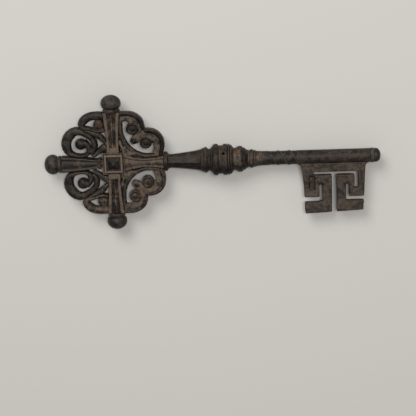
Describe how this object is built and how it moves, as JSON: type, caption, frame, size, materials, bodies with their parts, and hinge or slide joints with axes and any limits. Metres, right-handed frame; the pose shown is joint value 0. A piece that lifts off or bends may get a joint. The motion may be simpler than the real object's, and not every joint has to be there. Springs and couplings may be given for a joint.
{
  "type": "decorative skeleton key",
  "caption": "Large ornamental iron key with an openwork scroll bow, ball finials, a turned and twisted stem and a meander bit.",
  "frame": {"origin": "on the ground under the middle of the key's overall length, on the level of the stem's axis in Y", "axes": "+X runs from the bow to the tip of the stem, +Y is away from the bit, +Z is out of the key's face; the key lies on its back and the stem's axis is 14.5 mm above the ground"},
  "size_m": [0.3046, 0.1248, 0.029],
  "materials": {
    "worn": "rubbed dark iron, satin on the edges",
    "patina": "matt brown patina",
    "dark": "blackened iron, low satin sheen"
  },
  "bodies": {
    "root": {"boss_block": "patina", "nailhead_front": "dark", "nailhead_back": "dark", "arm_upper": "patina", "arm_lower": "patina", "arm_left": "worn", "arm_stem": "patina", "finial_upper": "dark", "finial_lower": "dark", "finial_left": "dark", "scroll_left_upper": "dark", "crest_scroll_upper": "dark", "leaf_upper": "patina", "corner_strap_upper": "worn", "lobe_outer_upper": "worn", "lobe_inner_upper": "worn", "bud_upper": "patina", "cove_upper": "patina", "scroll_left_lower": "dark", "crest_scroll_lower": "dark", "leaf_lower": "patina", "corner_strap_lower": "worn", "lobe_outer_lower": "worn", "lobe_inner_lower": "worn", "bud_lower": "patina", "cove_lower": "patina", "collar": "dark", "baluster": "worn", "knop": "dark", "knop_pin": "dark", "bead_ring": "worn", "ferrule": "worn", "twisted_shank": "worn", "barrel": "patina", "tip": "dark", "bit": "patina"}
  },
  "joints": []
}
